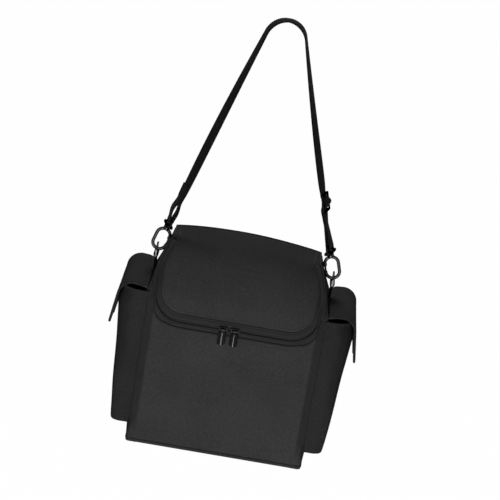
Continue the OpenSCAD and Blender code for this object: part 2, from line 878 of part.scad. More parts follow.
// The adjuster is a flat frame with a round bar across its middle.
module adjuster() {
  outer = eye_in + 2 * eye_side;
  color([0.2, 0.2, 0.21])
    on_leg(right_eye_turn) translate([adjuster_x, 0, adjuster_at]) {
      along_x(adjuster_t) difference() {
        round_rect(outer, adjuster_l, 2.5);
        square([eye_in, 2 * adjuster_slot], center = true);
      }
      rotate([90, 0, 0]) cylinder(r = centre_bar_r, h = eye_in + eye_side, center = true);
    }
}

front_panel();
back_panel();
on_left() side_panel();  // left_side_panel
side_panel();  // right_side_panel
base_panel();
base_board();
top_panel();
lid_panel();
lid_piping();
opening_piping();
lid_zip_tape();
bag_zip_tape();
lid_zip_coil();
bag_zip_coil();
zip_stops();
on_zip() on_left() slider();  // left_slider
on_zip() slider();  // right_slider
on_zip() on_left() pull_pin();  // left_pull_pin
on_zip() pull_pin();  // right_pull_pin
on_zip() on_left() pull();  // left_pull
on_zip() pull();  // right_pull
on_left() pocket();  // left_pocket
pocket();  // right_pocket
on_left() pocket_hem();  // left_pocket_hem
pocket_hem();  // right_pocket_hem
on_left() flap();  // left_flap
flap();  // right_flap
on_left() hook_patch();  // left_hook_patch
hook_patch();  // right_hook_patch
on_left() loop_patch();  // left_loop_patch
loop_patch();  // right_loop_patch
on_left() tab();  // left_tab
tab();  // right_tab
on_left() ring();  // left_ring
ring();  // right_ring
on_left() hook();  // left_hook
hook();  // right_hook
on_left() gate();  // left_gate
gate();  // right_gate
on_left() gate_pin();  // left_gate_pin
gate_pin();  // right_gate_pin
on_left() swivel_eye(left_eye_turn);  // left_swivel_eye
swivel_eye(right_eye_turn);  // right_swivel_eye
strap();
adjuster();
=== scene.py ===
import bmesh
import bpy
import math
from mathutils import Matrix, Vector, noise


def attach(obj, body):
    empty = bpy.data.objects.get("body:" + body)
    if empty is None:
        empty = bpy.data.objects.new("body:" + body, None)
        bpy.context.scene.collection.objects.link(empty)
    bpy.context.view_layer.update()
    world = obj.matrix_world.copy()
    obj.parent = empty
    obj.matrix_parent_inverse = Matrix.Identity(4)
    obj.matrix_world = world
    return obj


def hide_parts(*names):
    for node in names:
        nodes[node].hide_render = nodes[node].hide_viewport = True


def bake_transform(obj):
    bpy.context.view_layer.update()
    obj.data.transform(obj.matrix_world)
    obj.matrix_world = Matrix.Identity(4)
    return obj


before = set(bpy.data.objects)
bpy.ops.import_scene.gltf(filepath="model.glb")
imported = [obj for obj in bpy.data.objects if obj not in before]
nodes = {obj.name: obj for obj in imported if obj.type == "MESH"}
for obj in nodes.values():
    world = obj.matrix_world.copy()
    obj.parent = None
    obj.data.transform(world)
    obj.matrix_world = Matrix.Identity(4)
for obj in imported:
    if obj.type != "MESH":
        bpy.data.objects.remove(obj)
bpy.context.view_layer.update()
mm = 0.001
sides = (("left", -1), ("right", 1))
# without a set seed the cloth's ripples would differ from run to run
rippleSeed = 11
noise.seed_set(rippleSeed)

# camera and light, as in the photograph
shot = {
    "aim": (0.0036, 0.036, 0.261),
    "distance": 2.8,
    "elevation": 17.0,
    "azimuth": 0.0,
    "roll": 9.65,
    "lens": 147.6,
    "sensor": 36.0,
    "clip": (0.1, 60.0),
}


def aimed(location, target):
    back = (Vector(location) - Vector(target)).normalized()
    return (-back).to_track_quat("-Z", "Y")


def makeCamera(s):
    el, az = math.radians(s["elevation"]), math.radians(s["azimuth"])
    back = Vector((math.sin(az) * math.cos(el), -math.cos(az) * math.cos(el), math.sin(el)))
    data = bpy.data.cameras.new("photoCamera")
    data.lens, data.sensor_width = s["lens"], s["sensor"]
    data.clip_start, data.clip_end = s["clip"]
    cam = bpy.data.objects.new("photoCamera", data)
    bpy.context.scene.collection.objects.link(cam)
    cam.location = Vector(s["aim"]) + back * s["distance"]
    turn = aimed(cam.location, s["aim"]).to_matrix() @ Matrix.Rotation(math.radians(s["roll"]), 3, "Z")
    cam.rotation_euler = turn.to_euler()
    bpy.context.scene.camera = cam


studio = {
    "frontLamp": {"at": (-0.1, -2.8, -0.12), "size": 1.0, "power": 34.0},
    "lowLamp": {"at": (0.05, -2.4, -0.5), "size": 0.45, "power": 13.0},
    "topLamp": {"at": (-0.3, 1.1, 2.4), "size": 1.2, "power": 27.0},
    "rightLamp": {"at": (1.9, -1.5, 0.5), "size": 1.2, "power": 1.5},
    "backLamp": {"at": (0.4, 1.8, 1.9), "size": 1.4, "power": 7.0},
    "ambient": 0.06,
    "aim": (0, 0, 0.2),
    "floorZ": -0.62,
    "floorHalf": 40.0,
    "floorWhite": 0.99,
    "paper": (0.9, 0.9, 0.9, 1),
}


def makeLamps(s):
    for name in ("frontLamp", "lowLamp", "topLamp", "rightLamp", "backLamp"):
        lamp = bpy.data.lights.new(name, "AREA")
        lamp.shape, lamp.size, lamp.energy = "DISK", s[name]["size"], s[name]["power"]
        obj = bpy.data.objects.new(name, lamp)
        bpy.context.scene.collection.objects.link(obj)
        obj.location = s[name]["at"]
        obj.rotation_euler = aimed(s[name]["at"], s["aim"]).to_euler()


# shader maths
class Wire:
    def __init__(self, finish, socket):
        self.finish, self.socket = finish, socket

    def maths(self, operation, *values):
        return self.finish.node("ShaderNodeMath", {"operation": operation}, dict(enumerate(values)))

    def __add__(self, other):
        return self.maths("ADD", self, other)

    def __sub__(self, other):
        return self.maths("SUBTRACT", self, other)

    def __mul__(self, other):
        return self.maths("MULTIPLY", self, other)

    def __truediv__(self, other):
        return self.maths("DIVIDE", self, other)

    def __pow__(self, other):
        return self.maths("POWER", self, other)

    def __abs__(self):
        return self.maths("ABSOLUTE", self)

    __radd__ = __add__

    def sine(self):
        return self.maths("SINE", self)


class Finish:
    def __init__(self, name, tree=None):
        if tree is None:
            self.material = bpy.data.materials.new(name)
            self.material.use_nodes = True
            tree = self.material.node_tree
        self.tree = tree
        self.tree.nodes.clear()

    def node(self, kind, settings=None, inputs=None, out=0):
        made = self.tree.nodes.new(kind)
        for key, value in (settings or {}).items():
            setattr(made, key, value)
        for key, value in (inputs or {}).items():
            if isinstance(value, Wire):
                self.tree.links.new(value.socket, made.inputs[key])
            else:
                made.inputs[key].default_value = value
        return Wire(self, made.outputs[out]) if made.outputs else made

    def parts(self, vector):
        return [self.node("ShaderNodeSeparateXYZ", inputs={0: vector}, out=i) for i in range(3)]

    def speckle(self, place, scale, detail):
        return self.node("ShaderNodeTexNoise", inputs={"Vector": place, "Scale": scale, "Detail": detail})

    def tone(self, amount, dark, light):
        colours = {0: amount, 6: (*dark, 1), 7: (*light, 1)}
        return self.node("ShaderNodeMix", {"data_type": "RGBA"}, colours, out=2)

    def seenDirectly(self):
        camera, glossy, through = [self.node("ShaderNodeLightPath", out="Is %s Ray" % way)
                                   for way in ("Camera", "Glossy", "Transmission")]
        return camera.maths("MAXIMUM", camera, glossy.maths("MAXIMUM", glossy, through))

    def raised(self, strength, depth, height):
        return self.node("ShaderNodeBump", inputs={"Strength": strength, "Distance": depth, "Height": height})

    def surface(self, colour, rough, bump, fixed):
        inputs = {"Base Color": colour, "Roughness": rough, "Normal": bump, **fixed}
        shader = self.node("ShaderNodeBsdfPrincipled", inputs=inputs)
        self.node("ShaderNodeOutputMaterial", inputs={"Surface": shader})
        return self.material


def dimmed(colour, k):
    return tuple(c * k for c in colour)


# plain weave on whichever way a panel faces
woven = {"facing": 4, "least": 0.001, "grainDetail": 3.0, "cloudScale": 14.0, "cloudDetail": 3.0,
         "weaveHeight": 0.45, "grainHeight": 0.8, "cloudShade": 0.8, "grainShade": 1.3, "weaveShade": 0.07,
         "dark": 0.72, "light": 1.28, "roughVary": 0.16}


def wovenFinish(name, s):
    f, w = Finish(name), woven
    place = f.node("ShaderNodeTexCoord", out="Object")
    facing = f.node("ShaderNodeTexCoord", out="Normal")
    waves = [(p * (2 * math.pi / s["pitch"])).sine() for p in f.parts(place)]
    shares = [abs(n) ** w["facing"] for n in f.parts(facing)]
    crossings = [waves[1] * waves[2], waves[0] * waves[2], waves[0] * waves[1]]
    total = shares[0] + shares[1] + shares[2] + w["least"]
    weave = (crossings[0] * shares[0] + crossings[1] * shares[1] + crossings[2] * shares[2]) / total
    grain = f.speckle(place, s["grainScale"], w["grainDetail"])
    cloud = f.speckle(place, w["cloudScale"], w["cloudDetail"])
    bump = f.raised(s["bump"], s["depth"], weave * w["weaveHeight"] + grain * w["grainHeight"])
    shade = (cloud - 0.5) * w["cloudShade"] + (grain - 0.5) * w["grainShade"] + weave * w["weaveShade"] + 0.5
    colour = f.tone(shade, dimmed(s["colour"], w["dark"]), dimmed(s["colour"], w["light"]))
    rough = s["rough"] + (grain - 0.5) * w["roughVary"]
    return f.surface(colour, rough, bump, {"Specular IOR Level": s["shine"]})


# ribs that follow the webbing, from its own UV map in metres
ribbed = {"slant": 0.8, "grainScale": 1500.0, "grainDetail": 2.0, "twillHeight": 0.6, "cordHeight": 0.25,
          "grainHeight": 0.5, "bump": 0.7, "twillShade": 0.2, "grainShade": 0.6, "baseShade": 0.2, "dark": 0.6,
          "light": 1.4, "roughVary": 0.15}


def ribbedFinish(name, s):
    f, r = Finish(name), ribbed
    flat = f.node("ShaderNodeUVMap", {"uv_map": "lie"})
    along, across, _ = f.parts(flat)
    twill = ((along * (1 / s["pitch"]) + abs(across) * (r["slant"] / s["pitch"])) * (2 * math.pi)).sine()
    cords = (across * (2 * math.pi / s["cord"])).sine()
    fuzz = f.node("ShaderNodeTexCoord", out="Object")
    grain = f.speckle(fuzz, r["grainScale"], r["grainDetail"])
    height = twill * r["twillHeight"] + cords * r["cordHeight"] + grain * r["grainHeight"]
    bump = f.raised(r["bump"], s["depth"], height)
    shade = twill * r["twillShade"] + grain * r["grainShade"] + r["baseShade"]
    colour = f.tone(shade, dimmed(s["colour"], r["dark"]), dimmed(s["colour"], r["light"]))
    rough = s["rough"] + (grain - 0.5) * r["roughVary"]
    return f.surface(colour, rough, bump, {"Specular IOR Level": s["shine"]})


# cast metal with a dark plated skin
plated = {"castScale": 260.0, "castDetail": 4.0, "rubScale": 70.0, "rubDetail": 2.0, "dark": 0.8, "light": 1.25,
          "bump": 0.12, "depth": 0.2 * mm, "rubRough": 0.14, "castRough": 0.05}


def platedFinish(name, s):
    f, m = Finish(name), plated
    place = f.node("ShaderNodeTexCoord", out="Object")
    cast = f.speckle(place, m["castScale"], m["castDetail"])
    rub = f.speckle(place, m["rubScale"], m["rubDetail"])
    colour = f.tone(rub, dimmed(s["colour"], m["dark"]), dimmed(s["colour"], m["light"]))
    bump = f.raised(m["bump"], m["depth"], cast)
    rough = s["rough"] + (rub - 0.5) * m["rubRough"] + (cast - 0.5) * m["castRough"]
    edge = (s["edge"], s["edge"], s["edge"], 1)
    return f.surface(colour, rough, bump, {"Metallic": s["metal"], "Specular Tint": edge})


# moulded or pressed plain stuff with a fine grain
grained = {"detail": 3.0, "dark": 0.7, "light": 1.3, "depth": 0.3 * mm, "roughVary": 0.2}


def grainFinish(name, s):
    f, g = Finish(name), grained
    place = f.node("ShaderNodeTexCoord", out="Object")
    grain = f.speckle(place, s["grainScale"], g["detail"])
    colour = f.tone(grain, dimmed(s["colour"], g["dark"]), dimmed(s["colour"], g["light"]))
    bump = f.raised(s["bump"], g["depth"], grain)
    return f.surface(colour, s["rough"] + (grain - 0.5) * g["roughVary"], bump, {"Specular IOR Level": s["shine"]})


finishes = {
    "bodyCloth": {"colour": (0.0432, 0.043, 0.043), "pitch": 1.1 * mm, "grainScale": 430.0, "depth": 0.25 * mm,
                  "bump": 0.45, "rough": 0.85, "shine": 0.0},
    "pocketCloth": {"colour": (0.0281, 0.028, 0.028), "pitch": 1.1 * mm, "grainScale": 430.0, "depth": 0.25 * mm,
                    "bump": 0.45, "rough": 0.85, "shine": 0.0},
    "binding": {"colour": (0.031, 0.031, 0.0315), "pitch": 0.8 * mm, "grainScale": 1300.0, "depth": 0.2 * mm,
                "bump": 0.4, "rough": 0.7, "shine": 0.02},
    "tape": {"colour": (0.033, 0.033, 0.033), "pitch": 0.9 * mm, "grainScale": 1300.0, "depth": 0.2 * mm,
             "bump": 0.5, "rough": 0.8, "shine": 0.0},
    "thread": {"colour": (0.02, 0.02, 0.02), "pitch": 0.35 * mm, "grainScale": 2500.0, "depth": 0.1 * mm,
               "bump": 0.4, "rough": 0.6, "shine": 0.1},
    "webbing": {"colour": (0.0115, 0.0115, 0.012), "pitch": 1.6 * mm, "cord": 1.25 * mm, "depth": 0.3 * mm,
                "rough": 0.75, "shine": 0.015},
    "gunmetal": {"colour": (0.012, 0.012, 0.0125), "rough": 0.14, "metal": 1.0, "edge": 0.2},
    # painted shade: this copy of the dark gunmetal, for the zip sliders, is painted darker so the white world's
    # reflection on their tops stays dim
    "blacked": {"colour": (0.005, 0.005, 0.0052), "rough": 0.35, "metal": 1.0, "edge": 0.08},
    "polished": {"colour": (0.011, 0.011, 0.0113), "rough": 0.17, "metal": 1.0, "edge": 0.2},
    # painted highlight: this copy of the same dark metal, for the hooks, gates and rings, is painted lighter so their
    # highlights show brighter
    "steel": {"colour": (0.022, 0.022, 0.0225), "rough": 0.2, "metal": 1.0, "edge": 0.3},
    "teeth": {"colour": (0.024, 0.024, 0.0245), "grainScale": 700.0, "bump": 0.1, "rough": 0.45, "shine": 0.2},
    "grip": {"colour": (0.014, 0.014, 0.014), "grainScale": 900.0, "bump": 1.0, "rough": 0.9, "shine": 0.1},
    "board": {"colour": (0.05, 0.048, 0.045), "grainScale": 400.0, "bump": 0.3, "rough": 0.6, "shine": 0.4},
}
makers = {"webbing": ribbedFinish, "gunmetal": platedFinish, "blacked": platedFinish, "polished": platedFinish,
          "steel": platedFinish, "teeth": grainFinish, "grip": grainFinish, "board": grainFinish}
looks = {name: makers.get(name, wovenFinish)(name, s) for name, s in finishes.items()}
print("finishes", len(looks))


def makeStage(s):
    floorMesh = bpy.data.meshes.new("paleFloor")
    bm = bmesh.new()
    bmesh.ops.create_grid(bm, x_segments=2, y_segments=2, size=s["floorHalf"])
    bmesh.ops.translate(bm, verts=bm.verts, vec=(0, 0, s["floorZ"]))
    bm.to_mesh(floorMesh)
    bm.free()
    floor = bpy.data.objects.new("paleFloor", floorMesh)
    bpy.context.scene.collection.objects.link(floor)
    f = Finish("paleFloor")
    seen = f.seenDirectly()
    paper = f.node("ShaderNodeBsdfDiffuse", inputs={"Color": s["paper"]})
    white = f.node("ShaderNodeEmission", inputs={"Color": (1, 1, 1, 1), "Strength": 1.0})
    mixed = f.node("ShaderNodeMixShader", inputs={0: seen * s["floorWhite"], 1: paper, 2: white})
    f.node("ShaderNodeOutputMaterial", inputs={"Surface": mixed})
    floorMesh.materials.append(f.material)
    world = bpy.data.worlds.new("studio")
    world.use_nodes = True
    bpy.context.scene.world = world
    w = Finish("studio", world.node_tree)
    strength = w.seenDirectly() * (1 - s["ambient"]) + s["ambient"]
    sky = w.node("ShaderNodeBackground", inputs={"Color": (1, 1, 1, 1), "Strength": strength})
    w.node("ShaderNodeOutputWorld", inputs={"Surface": sky})
    bpy.context.scene.view_settings.view_transform = "Standard"


makeCamera(shot)
makeLamps(studio)
makeStage(studio)
print("stage set")

# the bag's form, the same as its solids
bag = {"halfW": 122 * mm, "halfD": 75 * mm, "height": 268 * mm, "shoulderIn": 20 * mm, "shoulderH": 54 * mm,
       "cornerR": 18 * mm, "frontR": 58 * mm, "seamY": 57 * mm, "topWithin": 0.02 * mm}
lid = {"half": 105.5 * mm, "halfTop": 93.5 * mm, "edgeZ": 189 * mm, "cornerR": 33 * mm, "foldY": -3 * mm,
       "leanZ": 226 * mm, "band": 9 * mm, "bandLow": 19 * mm, "bandTop": 6.9 * mm, "bendFrom": 86.05,
       "zipAt": 0.5, "gap": 1.4 * mm}
zipZ = lid["edgeZ"] - lid["zipAt"] * lid["bandLow"]
bendY, bendZ = bag["frontR"] - bag["halfD"], bag["height"] - bag["frontR"]


def ease(t):
    t = min(1.0, max(0.0, t))
    return t * t * (3 - 2 * t)


def ramp(value, start, run):
    return ease((value - start) / run)


def swell(t, low, high):
    return math.sin(math.pi * (t - low) / (high - low)) ** 2 if low < t < high else 0.0


# half the lid's width at a height, and half the bag's
def lidHalf(z, half=lid["half"], top=lid["halfTop"]):
    return half - (half - top) * max(0.0, z - lid["leanZ"]) / (bag["height"] - lid["leanZ"])


def shoulderX(z):
    rise = max(0.0, z - (bag["height"] - bag["shoulderH"]))
    return bag["halfW"] - bag["shoulderIn"] * rise / bag["shoulderH"]


# how the filled bag sags: a sum of small moves, each set by where it starts and the run it grows over
panelForm = {"frontBelly": 3.2 * mm, "frontZ": (4 * mm, 164 * mm), "backBelly": 2.6 * mm,
             "backZ": (4 * mm, 250 * mm), "faceY": 50 * mm, "faceRun": 20 * mm, "sideX": 100 * mm,
             "sideRun": 18 * mm, "foot": 1.6 * mm, "footRun": 35 * mm, "waist": 0.5 * mm,
             "waistZ": (6 * mm, 205 * mm), "lip": 2.9 * mm, "lipZ": 148 * mm, "lipRun": 18 * mm, "lipEndZ": 170.8 * mm,
             "lipEndRun": 6.8 * mm, "lipY": 56 * mm, "lipDeep": 8 * mm}


def sideShare(x):
    return ramp(abs(x), panelForm["sideX"], panelForm["sideRun"])


def panelMove(x, y, z):
    s = panelForm
    flatX = max(0.0, 1 - (x / bag["halfW"]) ** 2) ** 1.5
    flatY = max(0.0, 1 - (y / bag["halfD"]) ** 2)
    moveY = s["backBelly"] * ramp(y, s["faceY"], s["faceRun"]) * flatX * swell(z, *s["backZ"])
    moveY -= s["frontBelly"] * ramp(-y, s["faceY"], s["faceRun"]) * flatX * swell(z, *s["frontZ"])
    moveX = -x / bag["halfW"] * s["foot"] * (1 - ease(z / s["footRun"]))
    moveX -= math.copysign(s["waist"], x) * sideShare(x) * flatY * swell(z, *s["waistZ"])
    lift = ramp(z, s["lipZ"], s["lipRun"]) * (1 - ramp(z, s["lipEndZ"], s["lipEndRun"]))
    return Vector((moveX, moveY, s["lip"] * lift * ramp(-y, s["lipY"], s["lipDeep"])))


# upright corners are drawn flat between their seams, and are square at the base
cornerForm = {"facet": 13.5 * mm, "squareMost": 1.3, "squareRun": 40 * mm}


def cornerMove(x, y, z):
    s, r = cornerForm, bag["cornerR"]
    overX, overY = abs(x) - bag["halfW"] + r, abs(y) - bag["seamY"]
    if overX <= 0 or overY <= 0:
        return Vector((0, 0, 0))
    turn = math.atan2(overY, overX)
    drawn = r * r / (r * math.cos(turn) + s["facet"] * math.sin(turn))
    flat = min(r / max(math.sin(turn), 1e-6), drawn)
    square = min(r / max(math.sin(turn), math.cos(turn)), s["squareMost"] * r)
    grow = (square + (flat - square) * ease(z / s["squareRun"])) / r - 1
    return Vector((math.copysign(overX, x) * grow, math.copysign(overY, y) * grow, 0))


# the shoulders give way beside the hooks, and the lid's sides stand wider near the top
shoulderForm = {"hookRoom": 2.0 * mm, "hookY": -30 * mm, "hookYRun": 20 * mm, "hookX": 86 * mm,
                "hookXRun": 12 * mm, "hookZ": (210 * mm, 285 * mm), "topZ": 260 * mm, "topRun": 10 * mm,
                "lidOut": 7.6 * mm, "lidBack": 3.1 * mm, "lidZ": 224 * mm, "lidRun": 28 * mm,
                "rimOut": 5.0 * mm, "rimBack": 2.0 * mm, "rimZ": 222 * mm, "rimRun": 30 * mm,
                "behindY": 3 * mm, "behindRun": 20 * mm}


def shoulderMove(x, y, z):
    s = shoulderForm
    room = s["hookRoom"] * ramp(y, s["hookY"], s["hookYRun"]) * ramp(abs(x), s["hookX"], s["hookXRun"])
    top = ramp(z, s["topZ"], s["topRun"])
    lidOut = s["lidOut"] * ramp(z, s["lidZ"], s["lidRun"]) - s["lidBack"] * top
    rimOut = s["rimOut"] * ramp(z, s["rimZ"], s["rimRun"]) - s["rimBack"] * top
    edge, rim = lidHalf(z), shoulderX(z)
    beyond = min(1.0, max(0.0, (abs(x) - edge) / (rim - edge)))
    spread = lidOut * min(1.0, abs(x) / edge) ** 2 * (1 - beyond) + rimOut * beyond
    wide = spread * ramp(-y, -s["behindY"], s["behindRun"]) - room * swell(z, *s["hookZ"])
    return Vector((math.copysign(1, x) * wide, 0, 0))


# the lid is pressed flat across its bend, and its crest is raised, more at the left
lidForm = {"crown": 1.8 * mm, "crownHalf": 100 * mm, "crownTurn": (-23, 96), "flatten": 8.5 * mm,
           "flattenTurn": (-20, 112), "reach": 30 * mm, "reachRun": 22 * mm, "roof": 7.5 * mm,
           "roofHalf": 102 * mm, "rise": 1.9 * mm, "riseRun": 85 * mm, "crestZ": 222 * mm, "crestRun": 44 * mm}


def lidMove(x, y, z):
    s = lidForm
    crest = s["roof"] * max(0.0, 1 - (x / s["roofHalf"]) ** 2) + s["rise"] * (1 - x / s["riseRun"])
    move = Vector((0, 0, crest * ramp(z, s["crestZ"], s["crestRun"])))
    fromY, fromZ = bendY - y, z - bendZ
    reach = math.hypot(fromY, fromZ)
    if reach > s["reach"]:
        turn = math.degrees(math.atan2(fromZ, fromY))
        out = s["crown"] * max(0.0, 1 - (x / s["crownHalf"]) ** 2) * swell(turn, *s["crownTurn"])
        out -= s["flatten"] * swell(turn, *s["flattenTurn"]) * ramp(reach, s["reach"], s["reachRun"])
        move += Vector((0, -fromY, fromZ)) * (out / reach)
    return move


# uneven cloth, but not along the zip, at the base or at the hooks
rippleForm = {"height": 0.55 * mm, "often": 17.0, "zipNear": 14 * mm, "zipY": 45 * mm, "zipRun": 20 * mm,
              "baseRun": 20 * mm, "hookZ": 220 * mm, "hookRun": 30 * mm}


def rippleMove(x, y, z):
    s = rippleForm
    still = 1 - math.exp(-(((z - zipZ) / s["zipNear"]) ** 2)) * ramp(-y, s["zipY"], s["zipRun"])
    still *= ease(z / s["baseRun"]) * (1 - ramp(z, s["hookZ"], s["hookRun"]) * sideShare(x))
    return noise.noise_vector(Vector((x, y, z)) * s["often"]) * (s["height"] * still)


# one field moves every sewn piece of the bag and the lid, so their seams stay closed
def sagged(p):
    moves = [move(*p) for move in (panelMove, cornerMove, shoulderMove, lidMove, rippleMove)]
    return sum(moves, Vector(p))


# the front's surface, and the way it faces
def frontY(x, z):
    up = min(max(0.0, z - bendZ), bag["frontR"])
    bend = bendY - math.sqrt(bag["frontR"] ** 2 - up ** 2)
    out = min(max(0.0, abs(x) - (bag["halfW"] - bag["cornerR"])), bag["cornerR"])
    plan = -bag["halfD"] + bag["cornerR"] - math.sqrt(bag["cornerR"] ** 2 - out ** 2)
    return max(bend, plan)


def skinNormal(p):
    out, up, fromBend = abs(p.x) - (bag["halfW"] - bag["cornerR"]), p.z - bendZ, p.y - bendY
    if p.z > bag["height"] - bag["topWithin"] and fromBend > 0:
        return Vector((0, 0, 1))
    n = Vector((0, 0, 0))
    n += Vector((0, min(fromBend, 0.0), up)).normalized() if up > 0 else Vector((0, -1, 0))
    if out > 0:
        n += Vector((math.copysign(out, p.x), p.y + bag["halfD"] - bag["cornerR"], 0)).normalized()
    return n.normalized()


# a line round the lid, from the fold's left end to its right end, on the bag's surface
lineSteps = {"bottom": 20, "corner": 24, "bend": 40, "top": 6}


def lidLine(share, out, step=2.0 * mm, foldGap=0.0):
    half = lid["half"] + share * lid["band"] + out
    top = lid["halfTop"] + share * lid["bandTop"] + out
    low = lid["edgeZ"] - share * lid["bandLow"] - out
    r = lid["cornerR"] + share * lid["band"] + out
    n = lineSteps
    line = [Vector((x * (half - r) / n["bottom"], 0, low)) for x in range(n["bottom"] + 1)]
    for i in range(1, n["corner"] + 1):
        a = math.radians(90) * i / n["corner"]
        line.append(Vector((half - r + r * math.sin(a), 0, low + r - r * math.cos(a))))
    for p in line:
        p.y = frontY(p.x, p.z)
    for i in range(1, n["bend"] + 1):
        z = bendZ + bag["frontR"] * math.cos(math.radians(lid["bendFrom"]) * (1 - i / n["bend"]))
        x = lidHalf(z, half, top)
        if z > low + r + mm:
            line.append(Vector((x, frontY(x, z), z)))
    lastY, endY = line[-1].y, lid["foldY"] - foldGap
    ends = [lastY + (endY - lastY) * i / n["top"] for i in range(1, n["top"] + 1)]
    line += [Vector((top, y, bag["height"])) for y in ends]
    whole = [Vector((-p.x, p.y, p.z)) for p in reversed(line[1:])] + line
    return evenly(whole, step)


def evenly(line, step=None, count=None):
    lengths = [0.0]
    for a, b in zip(line, line[1:]):
        lengths.append(lengths[-1] + (b - a).length)
    count = count or max(2, round(lengths[-1] / step))
    made, i = [], 0
    for k in range(count + 1):
        s = lengths[-1] * k / count
        while i < len(line) - 2 and lengths[i + 1] < s:
            i += 1
        gap = lengths[i + 1] - lengths[i]
        made.append(line[i].lerp(line[i + 1], (s - lengths[i]) / gap if gap else 0.0))
    return made


def sunk(line, depth):
    return [p - skinNormal(p) * depth for p in line]


# making pieces
def newPiece(name, bm, look, body, stands, sharp=None):
    mesh = bpy.data.meshes.new(name)
    bm.to_mesh(mesh)
    bm.free()
    obj = bpy.data.objects.new(name, mesh)
    bpy.context.scene.collection.objects.link(obj)
    return finishPiece(obj, look, body, stands, sharp)


def finishPiece(obj, look, body, stands, sharp=None):
    obj.data.materials.clear()
    obj.data.materials.append(looks[look])
    obj.data.shade_smooth()
    if sharp is not None:
        obj.data.set_sharp_from_angle(angle=math.radians(sharp))
    if body:
        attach(obj, body)
    if stands:
        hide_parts(*stands)
    return obj


def bakedMesh(obj):
    seen = obj.evaluated_get(bpy.context.evaluated_depsgraph_get())
    made = bpy.data.meshes.new_from_object(seen)
    old, obj.data = obj.data, made
    obj.modifiers.clear()
    bpy.data.meshes.remove(old)
    return obj


# a sewn panel: its solid's shape in small even faces, with soft edges, then moved by a field
sewing = {"weld": 0.01 * mm, "smooth": 0.5}


def sewnPanel(name, stands, look, body, voxel, rounds=3, field=sagged):
    bm = bmesh.new()
    for n in stands:
        bm.from_mesh(nodes[n].data)
    bmesh.ops.remove_doubles(bm, verts=bm.verts, dist=sewing["weld"])
    mesh = bpy.data.meshes.new(name)
    bm.to_mesh(mesh)
    bm.free()
    obj = bpy.data.objects.new(name, mesh)
    bpy.context.scene.collection.objects.link(obj)
    mod = obj.modifiers.new("faces", "REMESH")
    mod.mode, mod.voxel_size = "VOXEL", voxel
    bakedMesh(obj)
    bm = bmesh.new()
    bm.from_mesh(obj.data)
    for _ in range(rounds):
        bmesh.ops.smooth_vert(bm, verts=bm.verts, factor=sewing["smooth"],
                              use_axis_x=True, use_axis_y=True, use_axis_z=True)
    for v in bm.verts:
        v.co = field(v.co)
    bm.to_mesh(obj.data)
    bm.free()
    finishPiece(obj, look, body, stands)
    print("sewn", name, len(obj.data.polygons))
    return obj


# a metal casting: its solid with its edges broken
casting = {"weld": 0.004 * mm, "flatWithin": 0.6, "sharp": 32.0, "edgeSteps": 3}
crowning = {"cuts": 6, "weld": 0.01 * mm, "below": 6 * mm, "run": 3 * mm}


# the front is rounded from side to side, below the pin
def crowned(bm, crown):
    s = crowning
    xs, ys, top = [v.co.x for v in bm.verts], [v.co.y for v in bm.verts], max(v.co.z for v in bm.verts)
    middle, half, depth = (min(xs) + max(xs)) / 2, (max(xs) - min(xs)) / 2, (min(ys) + max(ys)) / 2
    for i in range(1 - s["cuts"], s["cuts"]):
        bmesh.ops.bisect_plane(bm, geom=bm.verts[:] + bm.edges[:] + bm.faces[:], dist=s["weld"],
                               plane_co=(middle + half * i / s["cuts"], 0, 0), plane_no=(1, 0, 0))
    for v in bm.verts:
        if v.co.y < depth:
            share = ease((top - s["below"] - v.co.z) / s["run"])
            v.co.y -= crown * (1 - ((v.co.x - middle) / half) ** 2) * share


def castPiece(name, node, body, edge, look="gunmetal", fuller=0.0, crown=0.0):
    s = casting
    bm = bmesh.new()
    bm.from_mesh(nodes[node].data)
    bmesh.ops.remove_doubles(bm, verts=bm.verts, dist=s["weld"])
    bmesh.ops.dissolve_limit(bm, angle_limit=math.radians(s["flatWithin"]), verts=bm.verts, edges=bm.edges)
    bm.normal_update()
    outward = [(v, v.co + v.normal * fuller) for v in bm.verts]
    for v, place in outward:
        v.co = place
    if crown:
        crowned(bm, crown)
    obj = newPiece(name, bm, look, body, [node], sharp=s["sharp"])
    mod = obj.modifiers.new("edges", "BEVEL")
    mod.width, mod.segments, mod.limit_method = edge, s["edgeSteps"], "ANGLE"
    mod.angle_limit, mod.profile, mod.harden_normals = math.radians(s["sharp"]), 0.5, True
    return obj


# a round cord along a line
def sewnCord(name, line, radius, look, body, stands, sag=True):
    curve = bpy.data.curves.new(name, "CURVE")
    curve.dimensions, curve.bevel_depth, curve.bevel_resolution = "3D", radius, 3
    curve.use_fill_caps = True
    spline = curve.splines.new("POLY")
    spline.points.add(len(line) - 1)
    for point, p in zip(spline.points, line):
        point.co = (*(sagged(p) if sag else p), 1)
    obj = bpy.data.objects.new(name, curve)
    bpy.context.scene.collection.objects.link(obj)
    mesh = bpy.data.meshes.new_from_object(obj.evaluated_get(bpy.context.evaluated_depsgraph_get()))
    bpy.data.objects.remove(obj)
    piece = bpy.data.objects.new(name, mesh)
    bpy.context.scene.collection.objects.link(piece)
    return finishPiece(piece, look, body, stands)


# the same small shape set many times along a line
def rowOf(name, shape, frames, look, body, stands):
    bm = bmesh.new()
    small = bpy.data.meshes.new(name + ".one")
    shape.to_mesh(small)
    shape.free()
    for place in frames:
        before = len(bm.verts)
        bm.from_mesh(small)
        bm.verts.ensure_lookup_table()
        bmesh.ops.transform(bm, matrix=place, verts=bm.verts[before:])
    bpy.data.meshes.remove(small)
    return newPiece(name, bm, look, body, stands)


